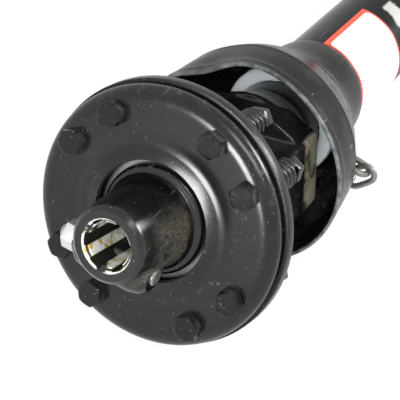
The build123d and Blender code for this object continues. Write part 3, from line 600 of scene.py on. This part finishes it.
def forged(node, name, voxel, rounds, material, body, slot):
    """A CAD node with the soft edges of a forging: remeshed in small cubes, then smoothed."""
    item = merged_copy(node, name)
    item.data.materials.clear()
    item.data.materials.append(material)
    remesh = item.modifiers.new("skin", "REMESH")
    remesh.mode = "VOXEL"
    remesh.voxel_size = voxel * MM
    remesh.use_smooth_shade = True
    smooth = item.modifiers.new("soft", "SMOOTH")
    smooth.factor = 0.5
    smooth.iterations = rounds
    settle(item)
    item.data.polygons.foreach_set("use_smooth", [True] * len(item.data.polygons))
    item.data.materials.clear()
    item.data.materials.append(material)
    return fit(item, body, slot, node)


# %% [markdown]
# The pressure plate: one sheet, spun from its section. The flat annulus carries the bolts. A shallow dish
# rises from a channel at the crease to the hole, and the rim rolls down over the friction rings in a
# quarter of an ellipse, so that the lamp's band on it starts gently.

# %% Pressure plate
plate_radius = 89.0
plate_top = 71.0
sheet = 3.7
dish_rise = 3.5
crease = 58.0
hole = 41.2
rim_end = 59.5
channel = 51.0
channel_depth = 0.5
rolled = 11.0
roll_drop = 8.5
roll_steps = 16
roll = []
for number in range(roll_steps + 1):
    turned = pi / 2 * number / roll_steps
    roll.append((plate_radius - rolled + rolled * sin(turned),
                 plate_top - roll_drop + roll_drop * cos(turned)))
front_side = [(hole, plate_top + dish_rise), (channel, plate_top - channel_depth), (crease, plate_top),
              (crease + 2.5, plate_top), (plate_radius - rolled - 1.5, plate_top)]
back_side = [(plate_radius, rim_end), (plate_radius - sheet, rim_end),
             (plate_radius - sheet, plate_top - sheet), (crease, plate_top - sheet),
             (channel, plate_top - sheet - channel_depth), (hole, plate_top + dish_rise - sheet)]
plate = lathe(front_side + roll + back_side, 256)
for radius, height, size, segments in (
        (plate_radius - sheet, plate_top - sheet, 4.3, 6), (plate_radius, rim_end, 1.0, 2),
        (plate_radius - sheet, rim_end, 0.6, 1), (crease, plate_top, 2.2, 4),
        (channel, plate_top - channel_depth, 3.0, 6), (hole, plate_top + dish_rise, 1.1, 3),
        (hole, plate_top + dish_rise - sheet, 0.8, 2)):
    round_ring(plate, radius, height, size, segments)
plate_piece = to_object("pressure_plate_sheet", plate, clutch, [plate_paint], 30)
fit(plate_piece, "clutch_yoke", "black_paint", "pressure_plate")

# %% [markdown]
# The bolt heads: a hexagon cut by a cone leaves the curved chamfer that a turned bolt blank has. One bolt
# is made, then repeated in four pairs, each head turned as the spanner left it. Its side faces have a paint
# of their own, lighter than the tops as painted light for the lamps on them, and worn by the spanner.

# %% Bolts
bolt_circle = 74.0
bolt_flat = 16.4
head_height = 7.2
bolt_angles = []
for quarter in range(4):
    for first in (31.8, 61.8):
        bolt_angles.append(90 * quarter + first)
corner = bolt_flat / sqrt(3)
chamfer_radius = 0.93 * bolt_flat / 2
cone_radius = 12
head = bmesh.new()
bmesh.ops.create_circle(head, cap_ends=True, segments=6, radius=corner)
top = bmesh.ops.extrude_face_region(head, geom=head.faces[:])
bmesh.ops.translate(head, verts=[v for v in top["geom"] if isinstance(v, bmesh.types.BMVert)],
                    vec=(0, 0, head_height))
bmesh.ops.recalc_face_normals(head, faces=head.faces)
bolt = to_object("bolt_blank", head)
cone_low = head_height - (cone_radius - chamfer_radius) * tan(radians(30))
cone = lathe([(0, -1), (cone_radius, -1), (cone_radius, cone_low), (chamfer_radius, head_height),
              (0, head_height)], 64)
carve(bolt, to_object("bolt_cone", cone), "INTERSECT")
edges = bolt.modifiers.new("edges", "BEVEL")
edges.width = 0.25
edges.segments = 1
edges.limit_method = "ANGLE"
edges.angle_limit = radians(25)
settle(bolt)
# The side faces take the second, lighter paint: painted light for the lit facets.
for face in bolt.data.polygons:
    face.material_index = 1 if abs(face.normal.z) < 0.8 else 0


def repeat(name, source, matrices, materials, smooth=35):
    """Copies of one mesh at many places, joined into one object."""
    whole = bmesh.new()
    for matrix in matrices:
        copy = source.data.copy()
        copy.transform(matrix)
        whole.from_mesh(copy)
        bpy.data.meshes.remove(copy)
    item = to_object(name, whole, None, materials, smooth)
    bpy.data.objects.remove(source)
    return item


def on_bolt_circle(angle, height, turned=0.0):
    """A place on the bolt circle, by its clock angle, with a turn of its own."""
    across = bolt_circle * sin(radians(angle))
    over = bolt_circle * cos(radians(angle))
    return clutch @ Matrix.Translation((across, over, height)) @ Matrix.Rotation(radians(turned), 4, "Z")


shank = lathe([(0, 2), (4, 2), (5, 3), (5, 71), (0, 71)], 32)
shank_piece = to_object("bolt_shank", shank)
head_places = [on_bolt_circle(angle, plate_top, 17.0 * number) for number, angle in enumerate(bolt_angles)]
bolts = repeat("clutch_bolt_heads", bolt, head_places, [bolt_paint, worn_lit_facet_paint], 20)
fit(bolts, "clutch_yoke", "black_paint", "clutch_bolts")
shanks = repeat("clutch_bolt_shanks", shank_piece, [on_bolt_circle(angle, 0) for angle in bolt_angles],
                [dark_steel])
fit(shanks, "clutch_yoke", "black_paint", "clutch_bolts")

# %% [markdown]
# The springs: round wire wound five and a half turns. A circle of wire is spun about the spring's axis
# while it climbs, which is what the lathe that wound them did.

# %% Springs
spring_outer = 10.4
wire = 4.2
spring_low = 14.0
spring_high = 48.0
turns = 5.5
steps_per_turn = 40
coil = bmesh.new()
bmesh.ops.create_circle(coil, cap_ends=True, segments=14, radius=wire / 2)
bmesh.ops.rotate(coil, verts=coil.verts, cent=(0, 0, 0), matrix=Matrix.Rotation(pi / 2, 3, "X"))
bmesh.ops.translate(coil, verts=coil.verts, vec=(spring_outer - wire / 2, 0, spring_low + wire / 2))
climb = (spring_high - spring_low - wire) / (turns * steps_per_turn)
bmesh.ops.spin(coil, geom=coil.verts[:] + coil.edges[:] + coil.faces[:], cent=(0, 0, 0), axis=(0, 0, 1),
               dvec=(0, 0, climb), angle=2 * pi * turns, steps=int(turns * steps_per_turn), use_merge=False)
bmesh.ops.remove_doubles(coil, verts=coil.verts, dist=0.001)
bmesh.ops.recalc_face_normals(coil, faces=coil.faces)
spring = to_object("spring_blank", coil)
springs = repeat("clutch_spring_wires", spring, [on_bolt_circle(angle, 0, 40 * number) for number, angle
                                                 in enumerate(bolt_angles)], [spring_paint], 50)
fit(springs, "clutch_yoke", "black_spring_paint", "clutch_springs")

# %% [markdown]
# The hub is a casting: a tapering nose with a lobe across it for the taper pin. Nose and lobe are turned
# apart, welded by a voxel remesh and smoothed, which gives the soft fillet of a mould. Then the mouth is
# cut true. The six grooves are one outline, raised to a prism; it and the bore with its lead-in are taken
# away, crisp as a machine leaves them.

# %% Hub casting
mouth = 127.7
disc_low = 59.0
disc_high = 64.3
nose = lathe([(0, disc_low + 2), (37.5, disc_low + 2), (37.5, 70), (35.5, 72), (33, 72.8), (31, 77),
              (25.7, 130), (0, 130)], 128)
pin_swing = radians(190.5)
pin_out = Vector((sin(pin_swing), cos(pin_swing), 0))
pin_middle = pin_out * 21.0 + Vector((0, 0, 97.8))
pin_right = Vector((-cos(pin_swing), sin(pin_swing), 0))
pin_turn = Matrix((Vector((0, 0, 1)), pin_right.cross(Vector((0, 0, 1))), pin_right)).transposed().to_4x4()
pin_place = Matrix.Translation(pin_middle) @ pin_turn
lobe = lathe([(0, -34), (9.5, -34), (14.5, -28), (16.5, -18), (16.5, 12.5), (14.5, 20.5), (10.5, 24.5),
              (0, 24.5)], 96)
lobe.transform(pin_place)
welded = bpy.data.meshes.new("lobe")
lobe.to_mesh(welded)
lobe.free()
nose.from_mesh(welded)
bpy.data.meshes.remove(welded)
hub = to_object("hub_casting", nose, None, [hub_paint])
skin = hub.modifiers.new("skin", "REMESH")
skin.mode = "VOXEL"
skin.voxel_size = 0.62
soft = hub.modifiers.new("soft", "SMOOTH")
soft.factor = 0.5
soft.iterations = 14
settle(hub)
hub.data.materials.clear()
hub.data.materials.append(hub_paint)
envelope = lathe([(0, 40), (60, 40), (60, 100), (27.4, 117), (26.05, 125.1), (23.4, mouth), (0, mouth)], 160)
carve(hub, to_object("hub_envelope", envelope, None, [hub_paint]), "INTERSECT")

# %% Splined bore
minor = 15.0
major = 17.5
groove = 8.6
bore_start = 30
teeth_start = 31
teeth_length = 100
bore = lathe([(0, bore_start), (minor, bore_start), (minor, mouth - 3.6), (major + 0.1, mouth - 1.2),
              (18.3, mouth), (21, mouth + 3), (0, mouth + 3)], 96)
bore_tool = to_object("bore_tool", bore, None, [bore_steel])
splines = bmesh.new()
ring = []
for number in range(6):
    bottom = asin(groove / 2 / major)
    flank = asin(groove / 2 / minor)
    for radius, first, last, count in ((major, -bottom, bottom, 5), (minor, flank, pi / 3 - flank, 6)):
        for spot in range(count):
            angle = pi / 3 * number + first + (last - first) * spot / (count - 1)
            ring.append(splines.verts.new((radius * cos(angle), radius * sin(angle), teeth_start)))
base = splines.faces.new(ring)
raised = bmesh.ops.extrude_face_region(splines, geom=[base])
bmesh.ops.translate(splines, verts=[v for v in raised["geom"] if isinstance(v, bmesh.types.BMVert)],
                    vec=(0, 0, teeth_length))
bmesh.ops.recalc_face_normals(splines, faces=splines.faces)
carve(hub, to_object("bore_splines", splines, None, [bore_steel]), "DIFFERENCE")
carve(hub, bore_tool, "DIFFERENCE")
hub.data.transform(clutch)
soften(hub.data, 28)
fit(hub, "clutch_hub", "black_paint", "clutch_hub")
disc = lathe([(17.6, 48), (22, 48), (22, disc_low), (67.5, disc_low), (67.5, disc_high), (36, disc_high),
              (36, 66), (17.6, 66)], 128)
fit(to_object("hub_disc", disc, clutch, [dark_steel]), "clutch_hub", "black_paint", "clutch_hub")

# %% [markdown]
# The bell is soft moulded plastic, and somebody leaned on it: its lip is pushed in at the upper left.
# The bell is turned whole, then the dent moves its points inwards, deepest at the lip and fading to
# nothing at the shoulder. Low ridges run round it. A subdivision surface makes the shell flow.

# %% Guard bells
bell_radius = 80.0
bell_mouth = 46.5
bell_end = 172.0
bell_wall = 2.4
bell_shares = [(1.0, 0.0), (0.967, 0.068), (0.934, 0.147), (0.901, 0.227), (0.85, 0.307), (0.742, 0.386),
               (0.629, 0.466), (0.531, 0.53), (0.413, 0.578), (0.296, 0.641), (0.202, 0.729), (0.143, 0.825),
               (0.096, 0.92), (0.049, 1.0)]
ridges = (0.068, 0.307, 0.578)
dent_middle = -23.0
dent_width = 16.0
dent_depth = 11.4
dent_reach = 58.0


def bell_outline(tube_radius):
    """The section of a bell: its outside from the lip to the collar, then its inside back again."""
    outside = []
    for share, along in bell_shares:
        radius = tube_radius + share * (bell_radius - tube_radius)
        height = bell_mouth + along * (bell_end - bell_mouth)
        if along in ridges:
            outside += [(radius + 0.3, height - 1.1), (radius + 0.7, height - 0.2),
                        (radius - 0.3, height + 0.9)]
        else:
            outside.append((radius, height))
    collar = tube_radius + 0.05
    inside = [(collar, bell_end), (collar, 150)]
    for radius, height in reversed(outside[1:-2]):
        inside.append((radius - bell_wall, height - bell_wall / 2))
    lip_inner = bell_radius - bell_wall
    lip_outside = [(bell_radius, bell_mouth + 0.5), (bell_radius - 0.05, bell_mouth + 3)]
    lip_inside = [(lip_inner + 0.05, bell_mouth + 3), (lip_inner, bell_mouth + 0.5)]
    rim = [(lip_inner + 0.5, bell_mouth), (bell_radius - 0.5, bell_mouth)]
    return lip_outside + outside[1:] + inside + lip_inside + rim


def press_dent(mesh):
    """Pushes the bell's lip in at the upper left."""
    moved = 0
    for vert in mesh.verts:
        radius = sqrt(vert.co.x ** 2 + vert.co.y ** 2)
        clock = Vector((0, 1)).angle_signed(Vector((vert.co.x, vert.co.y)), 0.0) * 180 / pi
        offset = (-clock - dent_middle) / dent_width
        fade = max(0.0, 1 - (vert.co.z - bell_mouth) / dent_reach)
        push = dent_depth * exp(-offset * offset / 2) * fade ** 1.4
        if push > 0.01:
            vert.co.x *= 1 - push / radius
            vert.co.y *= 1 - push / radius
            moved += 1
    return moved


def make_bell(name, tube_radius, matrix, body, node, dented):
    """One bell, round or dented, as a smooth shell."""
    mesh = lathe(bell_outline(tube_radius), 96)
    if dented:
        print("dent moved", press_dent(mesh), "points")
    item = to_object(name, mesh, matrix, [bell_plastic], 60)
    surface = item.modifiers.new("surface", "SUBSURF")
    surface.levels = 1
    surface.render_levels = 1
    settle(item, 60)
    return fit(item, body, "guard_plastic", node)


make_bell("bell_front_shell", 37.4, shaft, "guard_front", "guard_bell_front", True)
make_bell("bell_rear_shell", 34.7, shaft_rear, "guard_rear", "guard_bell_rear", False)

# %% [markdown]
# The label: a white plate with a red-orange border, wrapped on the guard tube, its face left blank. It is
# a strip of the tube's own curve. The border is a mask: past a distance from the rounded middle it is red.

# %% Label
label_start = 174.0
label_end = 243.0
label_first = 6.0
label_last = 150.0
label_radius = 37.5
label_edges = (1.9, 4.2)
label_corner = 4.0


def red_border(tree, tone, roughness, height):
    """Prints a border whose inner corners are round, from the distance to the label's middle."""
    right, up, out = local(tree, shaft)
    around = times(tree, maths(tree, "ARCTAN2", times(tree, right, -1.0), up), label_radius)
    turns = (radians(label_first) * label_radius, radians(label_last) * label_radius)
    square = 0.0
    for value, (first, last), edge in ((out, (label_start, label_end), label_edges[0]),
                                       (around, turns, label_edges[1])):
        straight = (last - first) / 2 - edge - label_corner
        past = maths(tree, "SUBTRACT", apart(tree, value, (first + last) / 2), straight)
        past = maths(tree, "MAXIMUM", past, 0.0)
        square = maths(tree, "ADD", square, times(tree, past, past))
    distance = maths(tree, "SQRT", square, 0.0)
    border = step(tree, distance, label_corner - 0.05, label_corner + 0.05)
    return stain(tree, tone, (0.82, 0.065, 0.028), border), roughness, height


label_print = finish("label_print", (0.80, 0.81, 0.81), 0.35, dust=0.12, dust_colour=(0.55, 0.55, 0.54),
                     specks=0.0, scratches=0.0, dust_size=60.0, grain=0.004, extra=red_border)


def wrap_label(name, matrix, body):
    """A sticker on the guard tube, between two distances and two clock angles, with its film's thickness."""
    mesh = bmesh.new()
    angle = radians(label_first)
    ends = [mesh.verts.new((-sin(angle) * label_radius, cos(angle) * label_radius, height))
            for height in (label_start, label_end)]
    line = mesh.edges.new(ends)
    bmesh.ops.subdivide_edges(mesh, edges=[line], cuts=4)
    bmesh.ops.spin(mesh, geom=mesh.verts[:] + mesh.edges[:], cent=(0, 0, 0), axis=(0, 0, 1),
                   angle=radians(label_last - label_first), steps=48, use_merge=False)
    bmesh.ops.remove_doubles(mesh, verts=mesh.verts, dist=0.001)
    bmesh.ops.recalc_face_normals(mesh, faces=mesh.faces)
    item = to_object(name, mesh, matrix, [label_print], 60)
    thick = item.modifiers.new("film", "SOLIDIFY")
    thick.thickness = 0.12 * MM
    thick.offset = 0
    settle(item, 60)
    return fit(item, body, "guard_plastic")


wrap_label("warning_plate_blank", shaft, "guard_front")

# %% [markdown]
# The white nylon ring in the bell's throat carries the guard on the yoke's neck. The rest of the shaft
# keeps the CAD's own forms: forgings get a remeshed skin, turned parts get broken edges.

# %% Forgings and turned parts
broken_edges("flange_yoke", "flange_forging", 1.0, flange_paint, "clutch_yoke", "black_paint")
forged("tube_yoke_front", "tube_yoke_front_forging", 1.3, 8, yoke_paint, "drive_outer", "forging_paint")
forged("tube_yoke_rear", "tube_yoke_rear_forging", 1.5, 8, forging_paint, "drive_inner", "forging_paint")
broken_edges("clutch_nuts", "clutch_nut_set", 0.5, bolt_paint, "clutch_yoke", "black_paint")
broken_edges("taper_pin", "taper_pin_bar", 0.4, dull_zinc, "clutch_hub", "zinc_steel")
broken_edges("taper_pin_nut", "taper_pin_hexagon", 0.8, zinc, "clutch_hub", "zinc_steel")
broken_edges("guard_bearing_front", "bearing_front_ring", 0.6, nylon, "guard_front", "nylon")
broken_edges("tractor_yoke", "tractor_forging", 1.0, forging_paint, "tractor_yoke", "forging_paint")

# %% [markdown]
# The safety chain: the CAD's links have straight runs and six sides. Subdivision rounds them into wire.

# %% Chain
chain = merged_copy("safety_chain", "safety_chain_links")
chain.data.materials.clear()
chain.data.materials.append(dull_zinc)
rounding = chain.modifiers.new("round", "SUBSURF")
rounding.levels = 2
rounding.render_levels = 2
swell = chain.modifiers.new("swell", "DISPLACE")
swell.strength = 0.6 * MM
swell.mid_level = 0.0
settle(chain, 80)
fit(chain, "guard_front", "zinc_steel", "safety_chain")

# %% CAD nodes that keep their shape
kept = (
    (steel, ("outer_profile_tube", "inner_profile_tube", "yoke_pin_front", "yoke_pin_rear", "cross_front",
             "cross_rear", "cross_caps_front_clutch", "cross_caps_front_shaft", "cross_caps_rear_shaft",
             "cross_caps_rear_tractor")),
    (dark_steel, ("cap_clips_front_clutch", "cap_clips_front_shaft", "cap_clips_rear_shaft",
                  "cap_clips_rear_tractor", "release_spring", "release_clip")),
    (rubber, ("cross_seals_front", "cross_seals_rear")),
    (bronze, ("hub_bush",)),
    (lining, ("friction_ring_front", "friction_ring_back")),
    (zinc, ("release_pin", "grease_nipple_front", "grease_nipple_rear")),
    (tube_plastic, ("guard_tube_outer", "guard_tube_inner")),
    (nylon, ("guard_bearing_rear",)),
)
for material, nodes in kept:
    for node in nodes:
        for material_slot in frame["nodes"][node].material_slots:
            material_slot.material = material
print("nodes kept:", sum(len(nodes) for material, nodes in kept))
